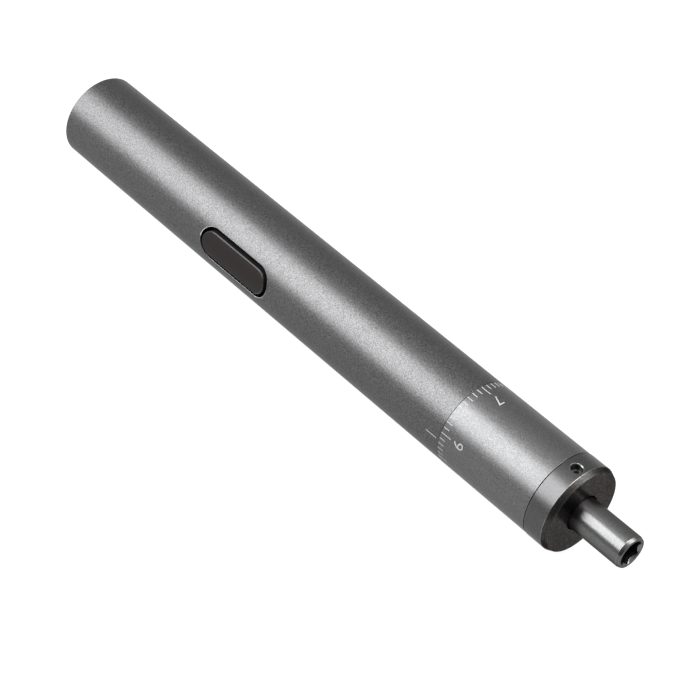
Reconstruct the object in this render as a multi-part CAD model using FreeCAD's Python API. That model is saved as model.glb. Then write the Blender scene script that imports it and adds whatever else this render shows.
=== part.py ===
import FreeCAD, Part
import math
import os

# A pen-shaped electric screwdriver, lying on its side with the bit socket towards +X.
# Every piece is drawn upright in tool coordinates: the axis is Z, the tail face is at zero
# and the rocker button faces +X. One placement at the end lays the whole tool down.

V = FreeCAD.Vector
AXIS = V(0, 0, 1)

# Outer shape
TUBE_RADIUS = 8.0
TUBE_WALL = 1.2
TUBE_LENGTH = 100.4
TUBE_END_EDGE = 0.2
RING_RISE = 0.02
RING_LENGTH = 19.9
COLLAR_RISE = 0.08
COLLAR_LENGTH = 4.85
COLLAR_NOSE_LENGTH = 1.05
COLLAR_NOSE_STEP = 0.45
SPINDLE_RADIUS = 3.0
SPINDLE_REACH = 10.7
SEAM_GAP = 0.08

# How the tool lies: the button's angle from straight up. Then the overrun of every cut
BUTTON_ROLL_DEG = 71.1
OVERRUN = 1.0

# Fits between pieces
FIXED_FIT = 0.02
RUNNING_FIT = 0.04
FACE_GAP = 0.2

# Button slot, rocker button and the switches under it
SLOT_LENGTH = 17.75
SLOT_WIDTH = 6.2
SLOT_CENTRE = 48.2
SLOT_EDGE = 0.06
BUTTON_GAP = 0.69
BUTTON_STAND = 0.2
BUTTON_THICKNESS = 2.0
BUTTON_EDGE = 0.12
ROCK_PIN_DROP = 0.85
ROCK_PIN_RADIUS = 0.4
ROCK_PIN_END_GAP = 0.23
ROCK_LUG_RADIUS = 0.8
ROCK_LUG_FLOAT = 0.1
ROCK_EAR_GAP = 0.2
ROCK_EAR_THICKNESS = 0.7
ROCK_EAR_LENGTH = 3.0
SWITCH_END_INSET = 2.875
SWITCH_SIDE = 3.0
SWITCH_HEIGHT = 0.55
SWITCH_TRAVEL = 0.25
NUB_SIDE = 1.6

# Tail cap and the charging socket
CAP_LENGTH = 4.0
CAP_EDGE = 0.2
PORT_WIDTH = 8.94
PORT_HEIGHT = 3.16
PORT_WALL = 0.3
PORT_LENGTH = 7.3
PORT_RECESS = 0.5
PORT_BACK = 0.8
TONGUE_WIDTH = 6.69
TONGUE_THICKNESS = 0.7
TONGUE_LENGTH = 4.45

# Boards
BOARD_THICKNESS = 0.8
CHARGE_BOARD_WIDTH = 9.0
CHARGE_BOARD_END = 11.2
CONTROL_BOARD_SIDE_GAP = 0.44
CONTROL_BOARD_START = 13.0
CONTROL_BOARD_PAST_SLOT = 1.575
CONTROL_BOARD_END_GAP = 0.25
CHIP_HEIGHT = 0.8
CHIP_SIDE = 4.0
CHIP_START = 17.0
DRIVER_SIDE = 2.8
DRIVER_PITCH = 4.4
DRIVER_COUNT = 3

# Cell and its carrier
CELL_LENGTH = 44.0
CELL_CLEARANCE = 0.15
CELL_START = 12.0
CELL_NUB_RADIUS = 1.8
CELL_NUB_HEIGHT = 0.3
TAB_WIDTH = 4.0
TAB_THICKNESS = 0.15
CARRIER_START = 8.0
CARRIER_BULKHEAD = 2.5
CARRIER_REST_WIDTH = 1.2

# Gear motor, a closed unit, and the strips that feed it
MOTOR_GAP = 1.85
MOTOR_FACE_GAP = 0.8
SHAFT_RADIUS = 0.9
SHAFT_SEAT = 3.0
TERMINAL_PLACE = 3.0
TERMINAL_WIDTH = 1.2
TERMINAL_THICKNESS = 0.4
TERMINAL_REACH = 1.1
TERMINAL_SEAT = 2.0
STRIP_ON_BOARD = 2.0

# Last planetary stage, whose ring gear is held by the clutch
RING_GEAR_WALL = 1.035
SUN_TEETH = 12
PLANET_TEETH = 12
PLANET_COUNT = 3
PRESSURE_DEG = 20.0
ADDENDUM_SHARE = 0.75
RING_ADDENDUM_SHARE = 0.55
DEDENDUM_SHARE = 1.15
TOOTH_THINNING = 0.02
GEAR_WIDTH = 4.0
GEAR_GAP = 0.3
PLANET_PIN_RADIUS = 0.75
CARRIER_PLATE_GAP = 0.745
CARRIER_PLATE_THICKNESS = 1.3

# Clutch between the ring gear and the torque ring
CLUTCH_FACE_THICKNESS = 1.8
CLUTCH_BORE_GAP = 0.4
FLANGE_THICKNESS = 1.6
FLANGE_SETBACK = 3.2
SLEEVE_WALL_SHARE = 0.35
PLATE_THICKNESS = 1.0
PLATE_SIDE_GAP = 0.15
PLATE_FIT = 0.1
DOG_COUNT = 3
DOG_WIDTH = 1.8
DOG_INSET = 0.2
DOG_SINK = 0.4
SPRING_WIDTH_SHARE = 0.25
SPRING_WIRE_HEIGHT = 0.7
SPRING_TURNS = 3
SPRING_LENGTH = 8.0
STEPS_PER_TURN = 12

# Nut that the torque ring turns, and the keys that turn it
NUT_SIDE_GAP = 0.2
NUT_LENGTH = 3.5
KEY_COUNT = 2
KEY_WIDTH = 2.2
KEY_REACH = 0.6
KEY_FIT = 0.06
KEYWAY_END = 4.0

# Torque ring, and the spigots of tube and collar that carry it
RING_BORE_STEP = 0.1
SPIGOT_WALL = 0.5
SPIGOT_LENGTH = 2.0
SPIGOT_END_GAP = 0.3

# Spindle, bit socket, and the collar's set screw
TIP_EDGE_LENGTH = 0.6
TIP_EDGE_STEP = 0.2
HEX_ACROSS_FLATS = 4.05
HEX_DEPTH = 9.5
HEX_TURN_DEG = -24.75
HEX_LEAD_STEP = 0.3
HEX_LEAD_DEPTH = 0.5
SOCKET_MAGNET_RADIUS = 1.9
SOCKET_MAGNET_LENGTH = 2.2
COLLAR_FACE_THICKNESS = 1.5
COLLAR_HOLE_GAP = 0.3
SET_SCREW_RADIUS = 0.9
SET_SCREW_TURN_DEG = -75.75
SET_SCREW_PLACE = 2.3
SET_SCREW_SINK = 1.1
SET_SCREW_LEAD = 0.25
SET_SCREW_KEY_FLATS = 0.9
SET_SCREW_KEY_DEPTH = 0.8

# Radii, worked out from the sizes above
TUBE_BORE = TUBE_RADIUS - TUBE_WALL
FITTED_RADIUS = TUBE_BORE - FIXED_FIT
SPIGOT_RADIUS = TUBE_BORE + SPIGOT_WALL
RING_RADIUS = TUBE_RADIUS + RING_RISE
RING_BORE = TUBE_BORE - RING_BORE_STEP
COLLAR_RADIUS = TUBE_RADIUS + COLLAR_RISE
NECK_ROOM = RING_BORE - SPINDLE_RADIUS
SLEEVE_RADIUS = SPINDLE_RADIUS + SLEEVE_WALL_SHARE * NECK_ROOM
SPRING_WIRE_WIDTH = SPRING_WIDTH_SHARE * NECK_ROOM
SPRING_RADIUS = (SLEEVE_RADIUS + RING_BORE) / 2
NUT_RADIUS = RING_BORE - NUT_SIDE_GAP
PLATE_RADIUS = TUBE_BORE - PLATE_SIDE_GAP
DOG_OUTER_RADIUS = PLATE_RADIUS - DOG_INSET
DOG_INNER_RADIUS = SLEEVE_RADIUS + PLATE_FIT + DOG_INSET
RING_TEETH = SUN_TEETH + 2 * PLANET_TEETH
RING_ROOT_RADIUS = FITTED_RADIUS - RING_GEAR_WALL
MODULE = RING_ROOT_RADIUS / (RING_TEETH / 2 + DEDENDUM_SHARE)
RING_PITCH_RADIUS = MODULE * RING_TEETH / 2
ORBIT_RADIUS = MODULE * (SUN_TEETH + PLANET_TEETH) / 2
CARRIER_PLATE_RADIUS = RING_ROOT_RADIUS - CARRIER_PLATE_GAP

# Heights under the button, from its top down to the cell
BUTTON_HEIGHT = TUBE_RADIUS + BUTTON_STAND
BUTTON_UNDERSIDE = BUTTON_HEIGHT - BUTTON_THICKNESS
BUTTON_LENGTH = SLOT_LENGTH - 2 * BUTTON_GAP
SWITCH_OFFSET = SLOT_LENGTH / 2 - SWITCH_END_INSET
BUTTON_WIDTH = SLOT_WIDTH - 2 * BUTTON_GAP
ROCK_PIN_HEIGHT = BUTTON_UNDERSIDE - ROCK_PIN_DROP
EAR_END = math.sqrt(TUBE_BORE**2 - (ROCK_PIN_HEIGHT + ROCK_PIN_RADIUS) ** 2) - ROCK_PIN_END_GAP
EAR_START = EAR_END - ROCK_EAR_THICKNESS
LUG_WIDTH = 2 * (EAR_START - ROCK_EAR_GAP)
BOARD_TOP = ROCK_PIN_HEIGHT - ROCK_LUG_RADIUS - ROCK_LUG_FLOAT
BOARD_SEAT = BOARD_TOP - BOARD_THICKNESS
CONTROL_BOARD_WIDTH = 2 * (math.sqrt(TUBE_BORE**2 - BOARD_TOP**2) - CONTROL_BOARD_SIDE_GAP)
CELL_RADIUS = (TUBE_BORE + BOARD_SEAT - 3 * CELL_CLEARANCE) / 2
CELL_OFFSET = TUBE_BORE - CELL_CLEARANCE - CELL_RADIUS

# Places along the axis: from the tail up to the motor, then from the front of the tube both ways
CELL_END = CELL_START + CELL_LENGTH
POCKET_START = CELL_START - TAB_THICKNESS
POCKET_END = CELL_END + TAB_THICKNESS
SLOT_END = SLOT_CENTRE + SLOT_LENGTH / 2
CARRIER_END = max(POCKET_END + CARRIER_BULKHEAD, SLOT_END + CONTROL_BOARD_PAST_SLOT)
CONTROL_BOARD_END = CARRIER_END - CONTROL_BOARD_END_GAP
MOTOR_START = CARRIER_END + MOTOR_GAP
FLANGE_END = TUBE_LENGTH - FLANGE_SETBACK
FLANGE_START = FLANGE_END - FLANGE_THICKNESS
CLUTCH_FACE_END = FLANGE_START - FACE_GAP
CLUTCH_FACE_START = CLUTCH_FACE_END - CLUTCH_FACE_THICKNESS
CARRIER_PLATE_END = CLUTCH_FACE_START - GEAR_GAP
CARRIER_PLATE_START = CARRIER_PLATE_END - CARRIER_PLATE_THICKNESS
STAGE_END = CARRIER_PLATE_START - FACE_GAP
STAGE_START = STAGE_END - GEAR_WIDTH
MOTOR_END = STAGE_START - MOTOR_FACE_GAP
PRESSURE_START = FLANGE_END + FACE_GAP
PRESSURE_END = PRESSURE_START + PLATE_THICKNESS
NUT_START = PRESSURE_END + SPRING_LENGTH
NUT_END = NUT_START + NUT_LENGTH
RING_END = TUBE_LENGTH + RING_LENGTH
COLLAR_END = RING_END + COLLAR_LENGTH
SLEEVE_END = COLLAR_END - COLLAR_FACE_THICKNESS
TOOL_LENGTH = COLLAR_END + SPINDLE_REACH
SET_SCREW_AXIS = math.radians(SET_SCREW_TURN_DEG)


def polar(radius, angle, height=0.0):
    return V(radius * math.cos(angle), radius * math.sin(angle), height)


def rod(radius, low, high, x=0.0):
    return Part.makeCylinder(radius, high - low, V(x, 0, low), AXIS)


def turned(profile):
    """Solid turned about the axis from (radius, height) corners."""
    corners = [V(radius, 0, height) for radius, height in profile]
    face = Part.Face(Part.makePolygon(corners + corners[:1]))
    return face.revolve(V(0, 0, 0), AXIS, 360)


def ring(outer, inner, low, high):
    return turned([(inner, low), (outer, low), (outer, high), (inner, high)])


def block(x_low, x_high, width, low, high, y_centre=0.0):
    corner = V(x_low, y_centre - width / 2, low)
    return Part.makeBox(x_high - x_low, width, high - low, corner)


def prism(edges, direction):
    wire = Part.Wire([edge.toShape() for edge in edges])
    return Part.Face(wire).extrude(direction)


def stadium(length, width, centre, along, across, sweep):
    """Round-ended bar: its outline lies in the plane of along and across, swept by sweep."""
    half = width / 2
    reach = (length - width) / 2

    def at(forward, sideways):
        return centre + along * forward + across * sideways

    edges = [
        Part.LineSegment(at(-reach, -half), at(reach, -half)),
        Part.Arc(at(reach, -half), at(reach + half, 0), at(reach, half)),
        Part.LineSegment(at(reach, half), at(-reach, half)),
        Part.Arc(at(-reach, half), at(-reach - half, 0), at(-reach, -half)),
    ]
    return prism(edges, sweep)


def button_bar(length, width, low, high):
    """Round-ended bar standing out of the button's side of the tube."""
    return stadium(length, width, V(low, 0, SLOT_CENTRE), AXIS, V(0, 1, 0), V(high - low, 0, 0))


def port_bar(width, height, low, high):
    """Round-ended bar along the axis, the shape of the charging socket."""
    return stadium(width, height, V(0, 0, low), V(0, 1, 0), V(1, 0, 0), V(0, 0, high - low))


def cross_rod(radius, width):
    """Rod across the button at the height of its pin."""
    return Part.makeCylinder(radius, width, V(ROCK_PIN_HEIGHT, -width / 2, SLOT_CENTRE), V(0, 1, 0))


def hexagon(across_flats, low, high, turn):
    radius = across_flats / math.sqrt(3)
    corners = [polar(radius, turn + k * math.pi / 3, low) for k in range(7)]
    return Part.Face(Part.makePolygon(corners)).extrude(V(0, 0, high - low))


def around(shape, count):
    """Copies of a shape spaced evenly about the axis."""
    return [shape.rotated(V(0, 0, 0), AXIS, 360.0 * k / count) for k in range(count)]


def involute(base, radius):
    angle = math.acos(base / radius)
    return math.tan(angle) - angle


def toothed_prism(teeth, tip, root, thinning, turn, low, high):
    """Prism with teeth on involute chords, one of them centred on the angle turn."""
    pitch = MODULE * teeth / 2
    base = pitch * math.cos(math.radians(PRESSURE_DEG))
    start = max(base, root)
    widest = math.pi / (2 * teeth) - thinning / pitch + involute(base, pitch)
    wide = widest - involute(base, start)
    narrow = widest - involute(base, tip)
    corners = []
    for k in range(teeth):
        centre = turn + 2 * math.pi * k / teeth
        flank = [(start, wide), (tip, narrow), (tip, -narrow), (start, -wide)]
        if root < base:
            flank = [(root, wide)] + flank + [(root, -wide)]
        corners += [polar(radius, centre - half, low) for radius, half in flank]
    face = Part.Face(Part.makePolygon(corners + corners[:1]))
    return face.extrude(V(0, 0, high - low))


def spur_gear(teeth, turn):
    pitch = MODULE * teeth / 2
    tip = pitch + MODULE * ADDENDUM_SHARE
    root = pitch - MODULE * DEDENDUM_SHARE
    return toothed_prism(teeth, tip, root, TOOTH_THINNING, turn, STAGE_START, STAGE_END)


# Tube and tail


def body_tube():
    edge = TUBE_RADIUS - TUBE_END_EDGE
    spigot_end = TUBE_LENGTH + SPIGOT_LENGTH
    tube = turned([
        (TUBE_BORE, 0), (edge, 0), (TUBE_RADIUS, TUBE_END_EDGE), (TUBE_RADIUS, TUBE_LENGTH),
        (SPIGOT_RADIUS, TUBE_LENGTH), (SPIGOT_RADIUS, spigot_end), (TUBE_BORE, spigot_end),
    ])
    tube = tube.cut(button_bar(SLOT_LENGTH, SLOT_WIDTH, 0, TUBE_RADIUS + OVERRUN))
    rim = [edge for edge in tube.Edges if on_slot_rim(edge)]
    return tube.makeChamfer(SLOT_EDGE, rim)


def on_slot_rim(edge):
    """True for an edge where the slot breaks through the outer skin of the tube."""
    points = edge.discretize(5)
    on_skin = all(abs(math.hypot(p.x, p.y) - TUBE_RADIUS) < SLOT_EDGE / 10 for p in points)
    in_slot = all(abs(p.z - SLOT_CENTRE) < SLOT_LENGTH / 2 + SLOT_EDGE for p in points)
    return on_skin and in_slot


def rear_cap():
    """Plug that closes the tail, with the opening of the charging socket."""
    cap = turned([
        (0, 0), (FITTED_RADIUS - CAP_EDGE, 0), (FITTED_RADIUS, CAP_EDGE),
        (FITTED_RADIUS, CAP_LENGTH), (0, CAP_LENGTH),
    ])
    width = PORT_WIDTH + 2 * FIXED_FIT
    height = PORT_HEIGHT + 2 * FIXED_FIT
    return cap.cut(port_bar(width, height, -OVERRUN, CAP_LENGTH + OVERRUN))


def usb_c_shell():
    end = PORT_RECESS + PORT_LENGTH
    inner_width = PORT_WIDTH - 2 * PORT_WALL
    inner_height = PORT_HEIGHT - 2 * PORT_WALL
    shell = port_bar(PORT_WIDTH, PORT_HEIGHT, PORT_RECESS, end)
    return shell.cut(port_bar(inner_width, inner_height, -OVERRUN, end - PORT_BACK))


def usb_c_tongue():
    back = PORT_RECESS + PORT_LENGTH - PORT_BACK
    half = TONGUE_THICKNESS / 2
    return block(-half, half, TONGUE_WIDTH, back - TONGUE_LENGTH, back)


# Boards, switches and cell


def charge_board():
    top = -PORT_HEIGHT / 2
    start = CAP_LENGTH + FACE_GAP
    return block(top - BOARD_THICKNESS, top, CHARGE_BOARD_WIDTH, start, CHARGE_BOARD_END)


def control_board():
    return block(BOARD_SEAT, BOARD_TOP, CONTROL_BOARD_WIDTH, CONTROL_BOARD_START, CONTROL_BOARD_END)


def board_components():
    """One controller and a row of motor drivers."""
    top = BOARD_TOP + CHIP_HEIGHT
    chips = [block(BOARD_TOP, top, CHIP_SIDE, CHIP_START, CHIP_START + CHIP_SIDE)]
    for k in range(DRIVER_COUNT):
        start = CHIP_START + CHIP_SIDE + (DRIVER_PITCH - DRIVER_SIDE) + k * DRIVER_PITCH
        chips.append(block(BOARD_TOP, top, DRIVER_SIDE, start, start + DRIVER_SIDE))
    return Part.makeCompound(chips)


def tact_switches():
    switches = []
    for side in (-1, 1):
        centre = SLOT_CENTRE + side * SWITCH_OFFSET
        low = centre - SWITCH_SIDE / 2
        switches.append(block(BOARD_TOP, BOARD_TOP + SWITCH_HEIGHT, SWITCH_SIDE, low, low + SWITCH_SIDE))
    return Part.makeCompound(switches)


def cell_carrier():
    """Moulded cradle: the cell lies in its pocket and the control board on its two long rests."""
    body = rod(FITTED_RADIUS, CARRIER_START, CARRIER_END)
    low = CARRIER_START - OVERRUN
    above = block(BOARD_SEAT, TUBE_RADIUS, 2 * TUBE_RADIUS, low, CARRIER_END + OVERRUN)
    pocket = rod(CELL_RADIUS + CELL_CLEARANCE, POCKET_START, POCKET_END, -CELL_OFFSET)
    below = block(-TUBE_RADIUS, -CELL_OFFSET, 2 * CELL_OFFSET, POCKET_START, POCKET_END)
    window_width = CONTROL_BOARD_WIDTH - 2 * CARRIER_REST_WIDTH
    window = block(0, TUBE_RADIUS, window_width, POCKET_START, POCKET_END)
    top = FIXED_FIT - PORT_HEIGHT / 2
    bottom = top - BOARD_THICKNESS - 2 * FIXED_FIT
    slot = block(bottom, top, CHARGE_BOARD_WIDTH + 2 * FIXED_FIT, low, CHARGE_BOARD_END + FIXED_FIT)
    for cut in (above, pocket, below, window, slot):
        body = body.cut(cut)
    return body


def battery_cell():
    shoulder = CELL_END - CELL_NUB_HEIGHT
    cell = turned([
        (0, CELL_START), (CELL_RADIUS, CELL_START), (CELL_RADIUS, shoulder),
        (CELL_NUB_RADIUS, shoulder), (CELL_NUB_RADIUS, CELL_END), (0, CELL_END),
    ])
    return cell.translated(V(-CELL_OFFSET, 0, 0))


def battery_tabs():
    tabs = []
    for low in (POCKET_START, CELL_END):
        tabs.append(block(-CELL_OFFSET, BOARD_SEAT, TAB_WIDTH, low, low + TAB_THICKNESS))
    return Part.makeCompound(tabs)


# Rocker button


def rocker_button():
    """Button whose top follows the tube, with a lug for its pin and a nub over each switch."""
    crown = rod(BUTTON_HEIGHT, SLOT_CENTRE - SLOT_LENGTH, SLOT_CENTRE + SLOT_LENGTH)
    cap = button_bar(BUTTON_LENGTH, BUTTON_WIDTH, BUTTON_UNDERSIDE, BUTTON_HEIGHT + OVERRUN).common(crown)
    rim = [edge for edge in cap.Edges if edge.BoundBox.XMin > BUTTON_UNDERSIDE + BUTTON_EDGE]
    cap = cap.makeChamfer(BUTTON_EDGE, rim)
    low = SLOT_CENTRE - ROCK_LUG_RADIUS
    web = block(ROCK_PIN_HEIGHT, BUTTON_UNDERSIDE, LUG_WIDTH, low, low + 2 * ROCK_LUG_RADIUS)
    pieces = [cross_rod(ROCK_LUG_RADIUS, LUG_WIDTH), web]
    nub_low = BOARD_TOP + SWITCH_HEIGHT + SWITCH_TRAVEL
    for side in (-1, 1):
        start = SLOT_CENTRE + side * SWITCH_OFFSET - NUB_SIDE / 2
        pieces.append(block(nub_low, BUTTON_UNDERSIDE, NUB_SIDE, start, start + NUB_SIDE))
    button = cap.fuse(pieces).removeSplitter()
    return button.cut(cross_rod(ROCK_PIN_RADIUS + RUNNING_FIT, LUG_WIDTH + OVERRUN))


def rocker_pin():
    return cross_rod(ROCK_PIN_RADIUS, 2 * EAR_END)


def rocker_bracket():
    """Two ears that stand on the control board and hold the pin."""
    low = SLOT_CENTRE - ROCK_EAR_LENGTH / 2
    high = SLOT_CENTRE + ROCK_EAR_LENGTH / 2
    top = ROCK_PIN_HEIGHT + ROCK_LUG_RADIUS
    room = rod(TUBE_BORE - FACE_GAP, low - OVERRUN, high + OVERRUN)
    hole = cross_rod(ROCK_PIN_RADIUS, 2 * EAR_END + OVERRUN)
    ears = []
    for side in (-1, 1):
        centre = side * (EAR_START + EAR_END) / 2
        ear = block(BOARD_TOP, top, EAR_END - EAR_START, low, high, centre)
        ears.append(ear.common(room).cut(hole))
    return Part.makeCompound(ears)


# Gear motor


def gear_motor():
    """Closed motor and gearbox, open in front for the output shaft."""
    shaft_room = SHAFT_RADIUS + RUNNING_FIT
    seat = MOTOR_END - SHAFT_SEAT
    motor = turned([
        (0, MOTOR_START), (FITTED_RADIUS, MOTOR_START), (FITTED_RADIUS, MOTOR_END),
        (shaft_room, MOTOR_END), (shaft_room, seat), (0, seat),
    ])
    for blade in terminal_blades():
        motor = motor.cut(blade)
    return motor


def terminal_blades():
    low = MOTOR_START - TERMINAL_REACH
    high = MOTOR_START + TERMINAL_SEAT
    half = TERMINAL_THICKNESS / 2
    return [block(-half, half, TERMINAL_WIDTH, low, high, side * TERMINAL_PLACE) for side in (-1, 1)]


def motor_terminals():
    return Part.makeCompound(terminal_blades())


def motor_strips():
    """Bent strips from the front end of the control board down to the motor's terminals."""
    top = BOARD_TOP + TERMINAL_THICKNESS
    foot = TERMINAL_THICKNESS / 2
    low = CONTROL_BOARD_END - STRIP_ON_BOARD
    high = MOTOR_START - (TERMINAL_REACH - TERMINAL_THICKNESS) / 2
    strips = []
    for side in (-1, 1):
        flat = block(BOARD_TOP, top, TERMINAL_WIDTH, low, high, side * TERMINAL_PLACE)
        drop = block(foot, top, TERMINAL_WIDTH, high - TERMINAL_THICKNESS, high, side * TERMINAL_PLACE)
        strips.append(flat.fuse(drop).removeSplitter())
    return Part.makeCompound(strips)


# Last planetary stage


def sun_shaft():
    """Output shaft of the gear motor with the sun gear cut on it."""
    shaft = rod(SHAFT_RADIUS, MOTOR_END - SHAFT_SEAT + FACE_GAP, STAGE_START)
    return shaft.fuse(spur_gear(SUN_TEETH, 0))


def planet(index):
    """Planet gear on its orbit, with a tooth space towards the sun and another towards the ring."""
    turn = 2 * math.pi * index / PLANET_COUNT
    gear = spur_gear(PLANET_TEETH, turn + math.pi / PLANET_TEETH)
    gear = gear.cut(rod(PLANET_PIN_RADIUS + RUNNING_FIT, STAGE_START - OVERRUN, STAGE_END + OVERRUN))
    return gear.translated(polar(ORBIT_RADIUS, turn))


def planet_a():
    return planet(0)


def planet_b():
    return planet(1)


def planet_c():
    return planet(2)


def clutch_ring_gear():
    """Ring gear, closed in front by the face that the clutch dogs hold."""
    low = MOTOR_END + FACE_GAP
    bore = SPINDLE_RADIUS + CLUTCH_BORE_GAP
    room = RING_ROOT_RADIUS + FACE_GAP
    gear = turned([
        (0, low), (FITTED_RADIUS, low), (FITTED_RADIUS, CLUTCH_FACE_END), (bore, CLUTCH_FACE_END),
        (bore, CLUTCH_FACE_START), (room, CLUTCH_FACE_START), (room, CARRIER_PLATE_START), (0, CARRIER_PLATE_START),
    ])
    tip = RING_PITCH_RADIUS - MODULE * RING_ADDENDUM_SHARE
    turn = math.pi / RING_TEETH
    teeth = toothed_prism(RING_TEETH, RING_ROOT_RADIUS, tip, -TOOTH_THINNING, turn,
                          low - OVERRUN, CARRIER_PLATE_START)
    gear = gear.cut(teeth)
    return gear.cut(around(clutch_dog(FLANGE_START, RUNNING_FIT), DOG_COUNT))


# Clutch and torque setting


def clutch_dog(top, fit):
    """Dog with a bevelled end, or with a fit the room that it slides in."""
    half = DOG_WIDTH / 2 + fit
    tip = half - DOG_SINK
    end = CLUTCH_FACE_END - DOG_SINK - fit
    outline = [(-half, top), (-half, CLUTCH_FACE_END), (-tip, end), (tip, end), (half, CLUTCH_FACE_END), (half, top)]
    corners = [V(DOG_INNER_RADIUS - fit, across, height) for across, height in outline]
    face = Part.Face(Part.makePolygon(corners + corners[:1]))
    return face.extrude(V(DOG_OUTER_RADIUS - DOG_INNER_RADIUS + 2 * fit, 0, 0))


def nose_sleeve():
    """Flange in the tube, and the threaded neck that carries the spindle, the nut and the collar."""
    bore = SPINDLE_RADIUS + RUNNING_FIT
    sleeve = turned([
        (bore, FLANGE_START), (FITTED_RADIUS, FLANGE_START), (FITTED_RADIUS, FLANGE_END),
        (SLEEVE_RADIUS, FLANGE_END), (SLEEVE_RADIUS, SLEEVE_END), (bore, SLEEVE_END),
    ])
    return sleeve.cut(around(clutch_dog(FLANGE_END + OVERRUN, RUNNING_FIT), DOG_COUNT))


def pressure_plate():
    """Ring that the spring pushes, with the dogs that hold the ring gear through the flange."""
    plate = ring(PLATE_RADIUS, SLEEVE_RADIUS + PLATE_FIT, PRESSURE_START, PRESSURE_END)
    return plate.fuse(around(clutch_dog(PRESSURE_START, 0), DOG_COUNT))


def clutch_spring():
    """Coil of flat wire between the pressure plate and the nut."""
    count = SPRING_TURNS * STEPS_PER_TURN
    step = 2 * math.pi / STEPS_PER_TURN
    rise = (SPRING_LENGTH - SPRING_WIRE_HEIGHT) / count
    inner = SPRING_RADIUS - SPRING_WIRE_WIDTH / 2
    outer = SPRING_RADIUS + SPRING_WIRE_WIDTH / 2
    sections = []
    for k in range(count + 1):
        low = PRESSURE_END + k * rise
        high = low + SPRING_WIRE_HEIGHT
        corners = [(inner, low), (outer, low), (outer, high), (inner, high), (inner, low)]
        sections.append(Part.makePolygon([polar(radius, k * step, height) for radius, height in corners]))
    return Part.makeLoft(sections, True, True)


def key_bar(width, reach, low, high):
    return block(SLEEVE_RADIUS, reach, width, low, high)


def adjust_nut():
    nut = rod(NUT_RADIUS, NUT_START, NUT_END)
    key = key_bar(KEY_WIDTH, NUT_RADIUS + KEY_REACH, NUT_START, NUT_END)
    nut = nut.fuse(around(key, KEY_COUNT)).removeSplitter()
    return nut.cut(rod(SLEEVE_RADIUS + RUNNING_FIT, NUT_START - OVERRUN, NUT_END + OVERRUN))


def torque_ring():
    low = TUBE_LENGTH + SEAM_GAP
    high = RING_END - SEAM_GAP
    seat = SPIGOT_RADIUS + RUNNING_FIT
    seat_end = TUBE_LENGTH + SPIGOT_LENGTH + SPIGOT_END_GAP
    body = turned([
        (seat, low), (RING_RADIUS, low), (RING_RADIUS, high),
        (RING_BORE, high), (RING_BORE, seat_end), (seat, seat_end),
    ])
    reach = NUT_RADIUS + KEY_REACH + KEY_FIT
    keyway = key_bar(KEY_WIDTH + 2 * KEY_FIT, reach, low - OVERRUN, high - KEYWAY_END)
    for cut in around(keyway, KEY_COUNT):
        body = body.cut(cut)
    return body


# Nose


def nose_collar():
    low = RING_END + SEAM_GAP
    spigot = RING_BORE - RUNNING_FIT
    spigot_low = RING_END - SPIGOT_LENGTH
    bore = SLEEVE_RADIUS + FIXED_FIT
    hole = SPINDLE_RADIUS + COLLAR_HOLE_GAP
    rim = COLLAR_END - COLLAR_NOSE_LENGTH
    collar = turned([
        (bore, spigot_low), (spigot, spigot_low), (spigot, low),
        (COLLAR_RADIUS, low), (COLLAR_RADIUS, rim),
        (COLLAR_RADIUS - COLLAR_NOSE_STEP, COLLAR_END), (hole, COLLAR_END),
        (hole, SLEEVE_END), (bore, SLEEVE_END),
    ])
    lead_low = COLLAR_RADIUS - SET_SCREW_LEAD
    lead_wide = SET_SCREW_RADIUS + SET_SCREW_LEAD + OVERRUN
    lead = Part.makeCone(SET_SCREW_RADIUS, lead_wide, SET_SCREW_LEAD + OVERRUN,
                         on_set_screw(lead_low), polar(1, SET_SCREW_AXIS))
    return collar.cut(set_screw_rod(SET_SCREW_RADIUS, 0, COLLAR_RADIUS + OVERRUN)).cut(lead)


def on_set_screw(radius):
    return polar(radius, SET_SCREW_AXIS, RING_END + SET_SCREW_PLACE)


def set_screw_rod(radius, inner, outer):
    return Part.makeCylinder(radius, outer - inner, on_set_screw(inner), polar(1, SET_SCREW_AXIS))


def collar_set_screw():
    top = COLLAR_RADIUS - SET_SCREW_SINK
    screw = set_screw_rod(SET_SCREW_RADIUS - FIXED_FIT, SLEEVE_RADIUS + FIXED_FIT, top)
    key = hexagon(SET_SCREW_KEY_FLATS, 0, SET_SCREW_KEY_DEPTH + OVERRUN, 0)
    turn = FreeCAD.Rotation(AXIS, polar(1, SET_SCREW_AXIS))
    key.Placement = FreeCAD.Placement(on_set_screw(top - SET_SCREW_KEY_DEPTH), turn)
    return screw.cut(key)


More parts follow.
